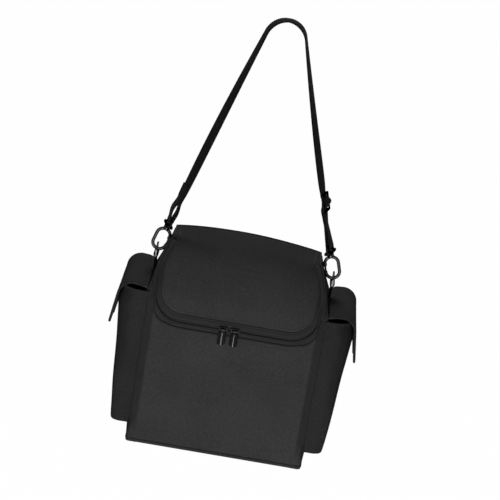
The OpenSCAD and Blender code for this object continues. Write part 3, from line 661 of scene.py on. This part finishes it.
# frames with X along the line, Z out of the surface
def framesOn(line, normalAt, every, start=0.0, depth=0.0, sag=True):
    spots = evenly(line, every)
    made = []
    for i, p in enumerate(spots[:-1]):
        middle = p.lerp(spots[i + 1], 0.5 + start)
        n = normalAt(middle)
        ahead = (spots[i + 1] - p).normalized()
        across = n.cross(ahead).normalized()
        n = ahead.cross(across)
        at = (sagged(middle) if sag else middle) - n * depth
        made.append(Matrix.Translation(at) @ Matrix((ahead, across, n)).transposed().to_4x4())
    return made


# a small bead, longest along X or along Y
def beadShape(size, turn, around):
    bm = bmesh.new()
    bmesh.ops.create_uvsphere(bm, u_segments=around, v_segments=5, radius=0.5)
    bmesh.ops.rotate(bm, verts=bm.verts, cent=(0, 0, 0), matrix=Matrix.Rotation(math.radians(90), 3, turn))
    bmesh.ops.scale(bm, verts=bm.verts, vec=size)
    return bm


stitch = {"every": 3.4 * mm, "length": 2.5 * mm, "thick": 0.75 * mm, "flat": 0.8, "sink": 0.05 * mm, "around": 6}


def stitches(name, line, normalAt, body, sag=True):
    s = stitch
    shape = beadShape((s["length"], s["thick"], s["thick"] * s["flat"]), "Y", s["around"])
    frames = framesOn(line, normalAt, s["every"], depth=s["sink"], sag=sag)
    return rowOf(name, shape, frames, "thread", body, [])


# a flat strip of webbing through a list of (point, across, up), with its own UV map
webbing = {"edge": 0.32, "sharp": 50.0}


def webbingStrip(name, spine, width, thick, body, stands):
    bm = bmesh.new()
    lie = bm.loops.layers.uv.new("lie")
    halfW, halfT, edge = width / 2, thick / 2, webbing["edge"] * thick
    row, rim = [-halfW + edge, -width / 6, width / 6, halfW - edge], [-halfT + edge, halfT - edge]
    corners = [(a, -halfT) for a in row] + [(halfW, b) for b in rim]
    corners += [(a, halfT) for a in reversed(row)] + [(-halfW, b) for b in reversed(rim)]
    lengthAt, rings, far = [], [], 0.0
    for i, (p, across, up) in enumerate(spine):
        far += (p - spine[i - 1][0]).length if i else 0.0
        lengthAt.append(far)
        spots = [p + across * a + up * b for a, b in corners]
        if i == 0:
            ring = [bm.verts.new(q) for q in spots]
            edges = [bm.edges.new((ring[k], ring[(k + 1) % len(ring)])) for k in range(len(ring))]
            bm.faces.new(list(reversed(ring)))
        else:
            made = bmesh.ops.extrude_edge_only(bm, edges=edges)["geom"]
            edges = [e for e in made if isinstance(e, bmesh.types.BMEdge) and e.is_boundary]
            fresh = [v for v in made if isinstance(v, bmesh.types.BMVert)]
            ring = [next(e.other_vert(q) for e in q.link_edges if e.other_vert(q) in fresh) for q in rings[-1]]
            for v, q in zip(ring, spots):
                v.co = q
        rings.append(ring)
    bm.faces.new(rings[-1])
    acrossAt = [a for a, _ in corners]
    where = {v: (lengthAt[i], acrossAt[k]) for i, ring in enumerate(rings) for k, v in enumerate(ring)}
    for face in bm.faces:
        for loop in face.loops:
            loop[lie].uv = where[loop.vert]
    bmesh.ops.recalc_face_normals(bm, faces=bm.faces)
    return newPiece(name, bm, "webbing", body, stands, sharp=webbing["sharp"])


# a thin strip between lines that run side by side
tape = {"step": 3 * mm, "thick": 1.1 * mm}


def tapeStrip(name, lines, body, stands):
    count = max(2, round(sum((b - a).length for a, b in zip(lines[0], lines[0][1:])) / tape["step"]))
    bm = bmesh.new()
    old, edges = None, []
    for line in lines:
        spots = [sagged(p) for p in evenly(line, count=count)]
        if old is None:
            old = [bm.verts.new(p) for p in spots]
            edges = [bm.edges.new(pair) for pair in zip(old, old[1:])]
            continue
        made = bmesh.ops.extrude_edge_only(bm, edges=edges)["geom"]
        fresh = set(v for v in made if isinstance(v, bmesh.types.BMVert))
        old = [next(e.other_vert(v) for e in v.link_edges if e.other_vert(v) in fresh) for v in old]
        edges = [bm.edges.get(pair) for pair in zip(old, old[1:])]
        for v, p in zip(old, spots):
            v.co = p
    obj = newPiece(name, bm, "tape", body, stands)
    mod = obj.modifiers.new("thickness", "SOLIDIFY")
    mod.thickness, mod.offset = tape["thick"], 0.0
    return obj


# body panels
panel = {"fill": 0.3, "front": 1.6 * mm, "back": 2.0 * mm, "side": 1.15 * mm, "base": 1.8 * mm}


def bodyPanel(name, stands, size, body="bag", rounds=3):
    return sewnPanel(name, stands, "bodyCloth", body, panel[size], rounds)


bodyPanel("front_cloth", ["front_panel"], "front")
bodyPanel("back_cloth", ["back_panel"], "back")
for name, _ in sides:
    bodyPanel(name + "_side_cloth", [name + "_side_panel"], "side")
bodyPanel("base_cloth", ["base_panel"], "base", rounds=1)
lidCloth = bodyPanel("lid_cloth", ["lid_panel", "top_panel"], "front", body=None)
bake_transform(lidCloth)
nodes["base_board"].material_slots[0].material = looks["board"]
print("panels done")

# seams: a welt in every join, and rows of stitches beside the lid's edge
seam = {"welt": 1.25 * mm, "sink": 0.5 * mm, "step": 4 * mm, "frontCount": 62, "backCount": 66,
        "topY": -2 * mm, "topCount": 16, "edgeX": -102 * mm, "edgeCount": 52, "baseZ": 4 * mm,
        "baseStep": 3 * mm, "baseSteps": 8}
piping = {"r": 1.5 * mm, "sink": 0.3 * mm, "foldGap": 0.3 * mm, "topSink": 0.9 * mm, "topY": (-2.7 * mm, 58 * mm),
          "topSteps": 16, "outerOut": 1.0 * mm, "innerBackX": 96.5 * mm, "outerBackX": 101.2 * mm}


def welt(name, line):
    sewnCord(name, line, seam["welt"], "binding", "bag", [])


def pipingCord(name, line, body, stands):
    sewnCord(name, line, piping["r"], "binding", body, stands)


def stepped(start, count):
    return [start + seam["step"] * i for i in range(count)]


def uprightSeam(k, y, count):
    return [Vector((k * (shoulderX(z) - seam["sink"]), y, z)) for z in stepped(seam["baseZ"], count)]


def baseRing():
    r, n = bag["cornerR"] - seam["sink"], seam["baseSteps"]
    ring = []
    for sideX, sideY, start in ((1, -1, -90), (1, 1, 0), (-1, 1, 90), (-1, -1, 180)):
        for i in range(n + 1):
            a = math.radians(start + 90 * i / n)
            ring.append(Vector((sideX * (bag["halfW"] - bag["cornerR"]) + r * math.cos(a),
                                sideY * (bag["halfD"] - bag["cornerR"]) + r * math.sin(a), seam["baseZ"])))
    return evenly(ring + ring[:1], seam["baseStep"])


def topCord(k, startX, endX):
    (startY, endY), n = piping["topY"], piping["topSteps"]
    z = bag["height"] - piping["sink"] - piping["topSink"]
    shares = [i / n for i in range(n + 1)]
    return [Vector((k * (startX + (endX - startX) * t), startY + (endY - startY) * t, z)) for t in shares]


seamTop = bag["height"] - seam["sink"]
for name, k in sides:
    x = k * (shoulderX(bag["height"]) - seam["sink"])
    welt(name + "_front_welt", uprightSeam(k, -bag["seamY"], seam["frontCount"]))
    welt(name + "_back_welt", uprightSeam(k, bag["seamY"], seam["backCount"]))
    welt(name + "_top_welt", [Vector((x, y, seamTop)) for y in stepped(seam["topY"], seam["topCount"])])
backTop = [Vector((x, bag["seamY"], seamTop)) for x in stepped(seam["edgeX"], seam["edgeCount"])]
welt("back_top_welt", backTop)
welt("base_welt", baseRing())
lidEdge = sunk(lidLine(0, -piping["r"], foldGap=piping["foldGap"]), piping["sink"])
pipingCord("lid_cord", lidEdge, "lid", ["lid_piping"])
openEdge = sunk(lidLine(1, piping["r"], foldGap=piping["foldGap"]), piping["sink"])
pipingCord("opening_cord", openEdge, "bag", ["opening_piping"])
innerX, outerX = lid["halfTop"] - piping["r"], lid["halfTop"] + lid["bandTop"] + piping["outerOut"]
for name, k in sides:
    pipingCord(name + "_inner_top_cord", topCord(k, innerX, piping["innerBackX"]), "bag", [])
    pipingCord(name + "_outer_top_cord", topCord(k, outerX, piping["outerBackX"]), "bag", [])
lidRow = {"in": 6.5 * mm, "foldGap": 10 * mm, "frontHalf": 100 * mm}
stitches("lid_stitches", lidLine(0, -lidRow["in"], foldGap=lidRow["foldGap"]), skinNormal, "lid")
lowerRow = [p for p in lidLine(1, lidRow["in"]) if abs(p.x) < lidRow["frontHalf"]]
stitches("front_stitches", lowerRow, skinNormal, "bag")
print("seams done")

# zip: two tapes and two rows of coil loops that mesh
zipper = {"lidEdge": (-0.6 * mm, 1.5 * mm), "bagEdge": (0.5 * mm, 1.2 * mm), "middleSink": 1.9 * mm,
          "coilSink": 2.4 * mm, "lidGap": 6.5 * mm, "tapeGap": 0.3 * mm, "bagGap": 0.6 * mm}
coil = {"pitch": 1.7 * mm, "size": (1.0 * mm, 3.0 * mm, 1.7 * mm), "around": 7, "sink": 1.3 * mm,
        "out": 1.55 * mm, "shift": 0.25}


def tapeLines(rows, foldGap):
    return [sunk(lidLine(share, out, foldGap=foldGap), sink) for share, out, sink in rows]


halfGap, zipAt = lid["gap"] / 2, lid["zipAt"]
middle, inner = zipper["middleSink"], zipper["coilSink"]
lidRows = ((0, *zipper["lidEdge"]), (zipAt / 2, 0, middle), (zipAt, -halfGap, inner))
bagRows = ((zipAt, halfGap, inner), ((1 + zipAt) / 2, 0, middle), (1, *zipper["bagEdge"]))
tapeStrip("lid_tape", tapeLines(lidRows, zipper["lidGap"]), "lid", ["lid_zip_tape"])
tapeStrip("bag_tape", tapeLines(bagRows, zipper["tapeGap"]), "bag", ["bag_zip_tape"])
for body, way, foldGap in (("lid", -1, zipper["lidGap"]), ("bag", 1, zipper["bagGap"])):
    line = lidLine(zipAt, way * coil["out"], foldGap=foldGap)
    frames = framesOn(line, skinNormal, coil["pitch"], start=way * coil["shift"], depth=coil["sink"])
    loop = beadShape(coil["size"], "X", coil["around"])
    rowOf(body + "_coil", loop, frames, "teeth", body, [body + "_zip_coil"])
castPiece("zip_end_stops", "zip_stops", "bag", edge=0.12 * mm, look="teeth")
for name, _ in sides:
    # the sliders take the darker painted copy of the gunmetal, painted shade against the reflection on their tops
    castPiece(name + "_zip_slider", name + "_slider", name + "_slider", edge=0.35 * mm, look="blacked")
    castPiece(name + "_zip_pin", name + "_pull_pin", name + "_slider", edge=0.15 * mm)
    castPiece(name + "_zip_pull", name + "_pull", name + "_pull", edge=0.7 * mm, look="polished", crown=0.7 * mm)
print("zip done")

# side pockets and their flaps
pocket = {"voxel": 1.3 * mm, "hemVoxel": 0.7 * mm, "patchVoxel": 0.6 * mm, "belly": 4.2 * mm, "shoulder": 2.6 * mm,
          "low": 30 * mm, "full": 186 * mm, "mouth": 211 * mm, "outX": 126 * mm, "outRun": 16 * mm,
          "shoulderY": 31 * mm, "shoulderRun": 8 * mm, "shoulderEnd": 50 * mm, "shoulderEndRun": 12 * mm,
          "baseZ": 18 * mm, "tall": 192 * mm, "wallX": 146.5 * mm, "flare": 8 * mm, "corner": 26 * mm,
          "cornerY": 10 * mm, "cornerRun": 52 * mm, "cornerZ": 70 * mm, "cornerRise": 70 * mm,
          "cornerEnd": 200 * mm, "cornerEndRun": 20 * mm, "hem": 3.0 * mm, "hemRun": 50 * mm, "cheek": 1.4 * mm,
          "cheekY": 45 * mm, "cheekRun": 12 * mm, "cheekZ": (20 * mm, 200 * mm)}
flap = {"voxel": 1.3 * mm, "axisX": 122.808 * mm, "axisZ": 217 * mm, "arch": 2.8 * mm,
        "bend": (140.8 * mm, 201.7 * mm), "bendR": 18.8 * mm, "bendSteps": 16, "turnEnd": 8,
        "tip": (166.4 * mm, 156 * mm), "half": 66 * mm, "tipR": 20 * mm, "ripple": 0.7 * mm, "often": 21.0,
        "thick": 3 * mm, "stitchIn": 5 * mm, "edge": 1.75 * mm, "edgeIn": 0.8 * mm, "skip": 2}


def pocketSag(p):
    s, q = pocket, sagged(p)
    farX, farY = abs(p.x), abs(p.y)
    out = ramp(farX, s["outX"], s["outRun"])
    beside = ramp(farY, s["shoulderY"], s["shoulderRun"]) * (1 - ramp(farY, s["shoulderEnd"], s["shoulderEndRun"]))
    lean = min(1.0, max(0.0, (p.z - s["low"]) / (s["full"] - s["low"])))
    lean *= 1 - ramp(p.z, s["full"], s["mouth"] - s["full"])
    q.x += math.copysign((s["belly"] + s["shoulder"] * beside) * out * lean, p.x)
    wall = s["wallX"] + s["flare"] * (p.z - s["baseZ"]) / s["tall"]
    near = min(1.0, max(0.0, 1 - (wall - farX) / s["corner"]))
    back = s["corner"] * (1 - math.sqrt(1 - near * near)) * ramp(farY, s["cornerY"], s["cornerRun"])
    back *= ramp(p.z, s["cornerZ"], s["cornerRise"]) * (1 - ramp(p.z, s["cornerEnd"], s["cornerEndRun"]))
    cheek = s["cheek"] * ramp(farY, s["cheekY"], s["cheekRun"]) * swell(p.z, *s["cheekZ"]) * out
    q.y += math.copysign(1, p.y) * (cheek - back)
    q.z += s["hem"] * (1 - ramp(p.z, s["baseZ"], s["hemRun"]))
    return q


def flapSag(p):
    down = max(0.0, flap["axisZ"] - p.z) / (flap["axisZ"] - flap["tip"][1])
    q = Vector(p)
    left = flap["tipR"] - max(0.0, p.z - flap["tip"][1])
    if left > 0 and abs(p.x) > flap["bend"][0]:
        curved = math.sqrt(max(0.0, flap["tipR"] ** 2 - min(left, flap["tipR"]) ** 2))
        q.y *= (flap["half"] - flap["tipR"] + curved) / flap["half"]
    return q + noise.noise_vector(Vector(p) * flap["often"]) * flap["ripple"] * down


def flapSpots(k):
    (cx, cz), n = flap["bend"], flap["bendSteps"]
    spots = [(flap["axisX"], flap["axisZ"]), ((flap["axisX"] + cx) / 2, flap["axisZ"] + flap["arch"])]
    for i in range(n + 1):
        a = math.radians(90 + (flap["turnEnd"] - 90) * i / n)
        spots.append((cx + flap["bendR"] * math.cos(a), cz + flap["bendR"] * math.sin(a)))
    spots.append(flap["tip"])
    return [Vector((k * x, 0, z)) for x, z in spots]


def flapNormal(k):
    spots = evenly(flapSpots(k), 1.5 * mm)

    def at(p):
        i = min(range(len(spots) - 1), key=lambda j: (spots[j].x - p.x) ** 2 + (spots[j].z - p.z) ** 2)
        d = spots[i + 1] - spots[i]
        n = Vector((-d.z, 0, d.x)).normalized()
        return n if n.x * k + n.z > 0 else -n
    return at


def flapRow(k, inset, lift):
    edge = flap["half"] - inset
    spots = evenly(flapSpots(k), 2 * mm)[flap["skip"]:]
    normal = flapNormal(k)
    low = flap["tip"][1] + inset
    r = flap["tipR"] - inset
    row = []
    for p in spots:
        if p.z < low and abs(p.x) > flap["bend"][0]:
            break
        under = max(0.0, r - (p.z - low)) if abs(p.x) > flap["bend"][0] else 0.0
        y = edge - r + math.sqrt(max(0.0, r * r - min(under, r) ** 2))
        row.append(Vector((p.x, -y, p.z)))
    row += [Vector((q.x, -q.y, q.z)) for q in reversed(row)]
    return [q + normal(q) * lift for q in row], normal


for name, k in sides:
    flapBody = name + "_flap"
    sewnPanel(name + "_pocket_cloth", [name + "_pocket"], "pocketCloth", "bag",
              pocket["voxel"], 2, pocketSag)
    sewnPanel(name + "_pocket_band", [name + "_pocket_hem"], "pocketCloth", "bag",
              pocket["hemVoxel"], 1, pocketSag)
    # painted light: the flap takes the body's lighter cloth rather than the pocket's, so its upward-facing top is not
    # as dark as the lamps leave it
    sewnPanel(name + "_flap_cloth", [name + "_flap"], "bodyCloth", flapBody,
              flap["voxel"], 1, flapSag)
    line, normal = flapRow(k, flap["stitchIn"], flap["thick"] / 2)
    stitches(name + "_flap_stitches", line, normal, flapBody, sag=False)
    line, _ = flapRow(k, flap["edgeIn"], 0.0)
    sewnCord(name + "_flap_edge", line, flap["edge"], "pocketCloth", flapBody, [], sag=False)
    castPiece(name + "_hook_tape", name + "_hook_patch", flapBody, edge=0.3 * mm, look="grip")
    sewnPanel(name + "_loop_tape", [name + "_loop_patch"], "grip", "bag",
              pocket["patchVoxel"], 1, pocketSag)
print("pockets done")

# strap, rings and hooks
strap = {"width": 20 * mm, "thick": 1.6 * mm, "y": 15 * mm, "angle": 16.7, "bendR": 27.5 * mm, "bendSteps": 28,
         "ringX": 121.2 * mm, "ringZ": 250 * mm, "eyeZ": 43.1 * mm, "loopR": 2.6 * mm, "ply": 1.9 * mm,
         "loop": 31 * mm, "loopSteps": 8, "sewn": 22 * mm, "sewnSteps": 4, "bowOut": 2.8 * mm, "bowIn": 1.7 * mm,
         "bowPower": 1.2, "steps": 24, "lean": 4.2 * mm, "leanZ": 370 * mm, "leanRun": 215 * mm}
twist = {"leftEye": 11, "rightEye": 17, "topTilt": 12, "rightTop": 5, "rightDip": 10, "eyeDip": 6, "left": 12,
         "leftPower": 0.7, "leftOpen": 9, "openBelow": 9 * mm, "openRun": 14 * mm, "right": 8}
adjuster = {"at": 105 * mm, "half": 13 * mm, "gap": 2 * mm, "slot": 10 * mm, "slotSteps": 12, "rise": 6.6 * mm,
            "x": 2.3 * mm, "sleeveR": 2.1 * mm, "tail": 0.9, "tailSteps": 8, "turns": 15}


def legPoint(x, z, k):
    a = math.radians(strap["angle"])
    return Vector((k * (strap["ringX"] + x * math.cos(a) - z * math.sin(a)), strap["y"],
                   strap["ringZ"] + x * math.sin(a) + z * math.cos(a)))


def eyeLoop(k):
    r, z = strap["loopR"], strap["eyeZ"]
    turns = [math.radians(-15 * i) for i in range(13)]
    arc = [legPoint(r * math.cos(a), z + r * math.sin(a), k) for a in turns]
    return [legPoint(r, z + r, k)] + arc + [legPoint(-r, z + r, k)]


loopEnd = strap["eyeZ"] + strap["loop"]
legAngle = math.radians(strap["angle"])
legEnd = strap["ringX"] / math.sin(legAngle) - strap["bendR"] / math.tan(legAngle)


def leftTurn(z):
    t = max(0.0, (z - loopEnd) / (legEnd - loopEnd))
    opened = twist["leftEye"] + twist["leftOpen"] * ease((z - loopEnd + twist["openBelow"]) / twist["openRun"])
    return opened * (1 - t) + twist["left"] * math.sin(math.pi * t ** twist["leftPower"]) + twist["topTilt"] * t


# one ply of the left loop, from the eye to where both plies are sewn together
def loopPly(side, bow, ply):
    s, n = strap, strap["loopSteps"]
    low = s["eyeZ"] + s["loopR"]
    made = []
    for t in [i / n for i in range(1, n + 1)]:
        bowed = bow * max(0.0, math.sin(math.pi * t)) ** s["bowPower"]
        x, z = side * s["loopR"] * (1 - ease(t)) + ply * ease(t) + bowed, low + (loopEnd - low) * t
        made.append((legPoint(x, z, -1), leftTurn(z)))
    return made


def leftLeg():
    s = strap
    sewn = [loopEnd + s["sewn"] * i / s["sewnSteps"] for i in range(s["sewnSteps"], 0, -1)]
    spots = [(legPoint(s["ply"], z, -1), leftTurn(z)) for z in sewn]
    spots += loopPly(1, s["bowOut"], s["ply"])[::-1] + [(p, twist["leftEye"]) for p in eyeLoop(-1)]
    spots += loopPly(-1, -s["bowIn"], 0.0)
    rest = [loopEnd + (legEnd - loopEnd) * i / s["steps"] for i in range(1, s["steps"] + 1)]
    return spots + [(legPoint(0, z, -1), leftTurn(z)) for z in rest]


def topBend():
    s, n = strap, strap["bendSteps"]
    z = s["ringZ"] + s["ringX"] / math.tan(legAngle) - s["bendR"] / math.sin(legAngle)
    made = []
    for i in range(1, n):
        a = math.pi - legAngle - (math.pi - 2 * legAngle) * i / n
        turn = twist["topTilt"] + (twist["rightTop"] - twist["topTilt"]) * (i / n) ** 2
        made.append((Vector((s["bendR"] * math.cos(a), s["y"], z + s["bendR"] * math.sin(a))), turn))
    return made


# down to the adjuster, over its middle bar, round the eye and back to its sleeve
def rightLeg():
    s, c, right = strap, adjuster, twist["rightEye"]
    low = c["at"] + c["half"] + c["gap"]
    spots = []
    for t in [i / s["steps"] for i in range(s["steps"], 0, -1)]:
        turn = right * (1 - t) + twist["right"] * math.sin(math.pi * math.sqrt(t)) + twist["rightTop"] * t
        spots.append((legPoint(0, low + (legEnd - low) * t, 1), turn))
    spots.append((legPoint(0, low, 1), right))
    for i in range(-c["slotSteps"], c["slotSteps"] + 1):
        z = -c["slot"] * i / c["slotSteps"]
        lift = c["rise"] * math.cos(math.pi / 2 * z / c["slot"]) ** 2
        spots.append((legPoint(lift, c["at"] + z, 1), right))
    spots.append((legPoint(0, loopEnd, 1), right - twist["rightDip"]))
    spots += [(p, right - twist["eyeDip"]) for p in eyeLoop(1)]
    spots.append((legPoint(-s["ply"], loopEnd, 1), right - twist["rightDip"]))
    for t in [i / c["tailSteps"] for i in range(c["tailSteps"] + 1)]:
        x = -s["ply"] + (c["x"] - c["sleeveR"] + s["ply"]) * (1 - math.cos(math.pi * t)) / 2
        spots.append((legPoint(x, c["at"] - c["slot"] * (1 - c["tail"] * t), 1), right))
    for i in range(c["turns"]):
        a = math.radians(180 - 15 * i)
        x, z = c["x"] + c["sleeveR"] * math.cos(a), c["at"] + c["sleeveR"] * math.sin(a)
        spots.append((legPoint(x, z, 1), right))
    return spots


# (point, turn) pairs in the strap's plane become points with their across and up ways, turned about their leg
def ribbon(spots):
    made = []
    for i, (p, turn) in enumerate(spots):
        before = spots[max(0, i - 1)][0]
        after = spots[min(len(spots) - 1, i + 1)][0]
        d1 = (p - before).normalized() if (p - before).length > 0 else (after - p).normalized()
        d2 = (after - p).normalized() if (after - p).length > 0 else d1
        d = (d1 + d2).normalized()
        k = -1 if p.x < 0 else 1
        foot, along = legPoint(0, 0, k), (legPoint(0, 1, k) - legPoint(0, 0, k)).normalized()
        spin = Matrix.Rotation(math.radians(turn) * -k, 3, along)
        lean = Vector((strap["lean"] * max(0.0, (p.z - strap["leanZ"]) / strap["leanRun"]) ** 2, 0, 0))
        across, up = spin @ Vector((0, 1, 0)), spin @ Vector((-d.z, 0, d.x))
        made.append((foot + spin @ (p - foot) + lean, across, up))
    return made


strapSpine = ribbon(leftLeg() + topBend() + rightLeg())
webbingStrip("shoulder_strap", strapSpine, strap["width"], strap["thick"], "strap", ["strap"])

tab = {"width": 18 * mm, "thin": 0.95, "barZ": 241.9 * mm, "foldR": 2.7 * mm, "rootZ": 222.4 * mm, "lean": 1 * mm,
       "neck": 4.2 * mm, "throat": 1.8 * mm, "throatShare": 0.9}


def tabSpine(k):
    x, z, r = strap["ringX"], tab["barZ"], tab["foldR"]
    half, throat = strap["thick"] / 2, r * tab["throatShare"]
    neckZ, throatZ = z - tab["neck"], z - tab["throat"]
    flat = [(x - tab["lean"] - half, tab["rootZ"]), (x - half, neckZ), (x - throat, throatZ)]
    flat += [(x - r * math.cos(a), z + r * math.sin(a)) for a in [math.radians(15 * i) for i in range(13)]]
    flat += [(x + throat, throatZ), (x + half, neckZ), (x - tab["lean"] + half, tab["rootZ"])]
    return ribbon([(Vector((k * a, strap["y"], b)), 0.0) for a, b in flat])


for name, k in sides:
    tabThick = strap["thick"] * tab["thin"]
    webbingStrip(name + "_ring_tab", tabSpine(k), tab["width"], tabThick, "bag", [name + "_tab"])
    # the ring, hook and gate take the lighter painted copy of the dark metal, for painted highlights
    castPiece(name + "_tab_ring", name + "_ring", name + "_ring", edge=0.4 * mm, look="steel")
    castPiece(name + "_snap_hook", name + "_hook", name + "_hook", edge=0.6 * mm, look="steel", fuller=0.5 * mm)
    castPiece(name + "_hook_gate", name + "_gate", name + "_gate", edge=0.3 * mm, look="steel")
    castPiece(name + "_hook_pin", name + "_gate_pin", name + "_hook", edge=0.15 * mm)
    castPiece(name + "_strap_eye", name + "_swivel_eye", "strap", edge=0.5 * mm)
castPiece("strap_adjuster", "adjuster", "strap", edge=0.4 * mm)
print("strap done")
